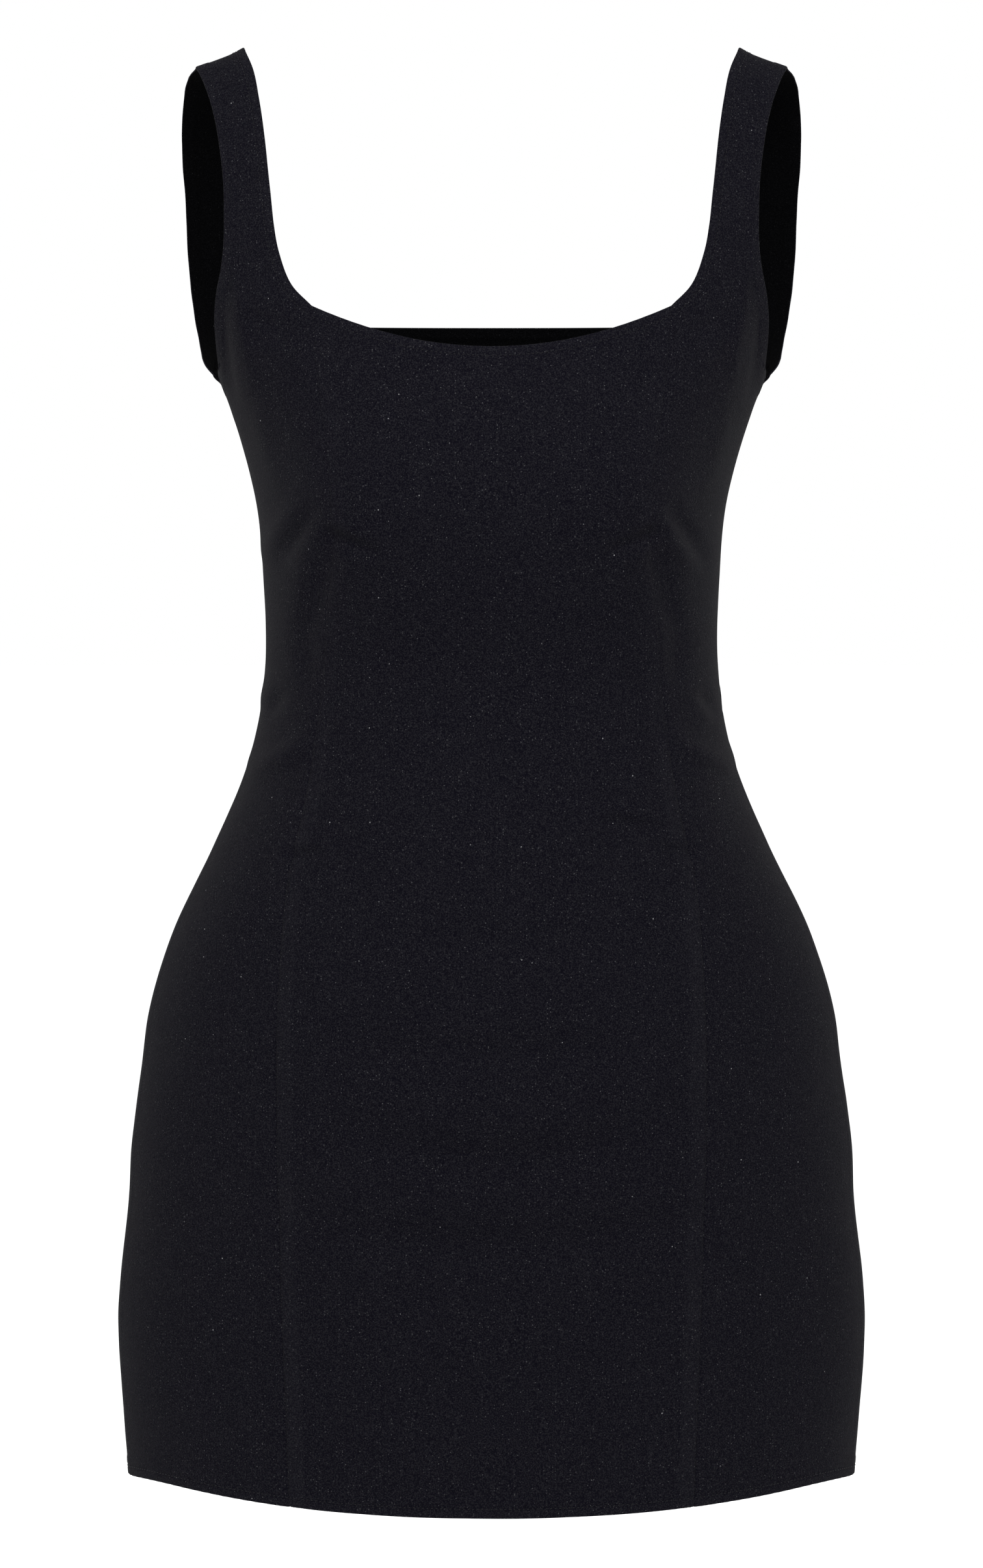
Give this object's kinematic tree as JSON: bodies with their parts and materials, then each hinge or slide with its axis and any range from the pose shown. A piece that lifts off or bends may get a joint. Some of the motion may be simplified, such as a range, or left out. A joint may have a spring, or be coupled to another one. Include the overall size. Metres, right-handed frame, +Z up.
{
  "type": "bodycon dress",
  "caption": "Hollow sleeveless mini dress with wide shoulder straps, scooped front neck, straight back neck, close waist and rounded hips, cut in princess panels.",
  "frame": {"origin": "midway between the two shoulder straps, level with the undersides of their highest points, where a wearer's shoulders hold the dress", "axes": "+Z up along the dress, +Y from the front towards the back, +X towards the wearer's left"},
  "size_m": [0.4298, 0.2332, 0.8149],
  "materials": {
    "crepe": "matte near-black stretch crepe with a fine pebbled grain"
  },
  "bodies": {
    "root": {"front_centre": "crepe", "front_side_left": "crepe", "front_side_right": "crepe", "back_centre": "crepe", "back_side_left": "crepe", "back_side_right": "crepe"}
  },
  "joints": []
}
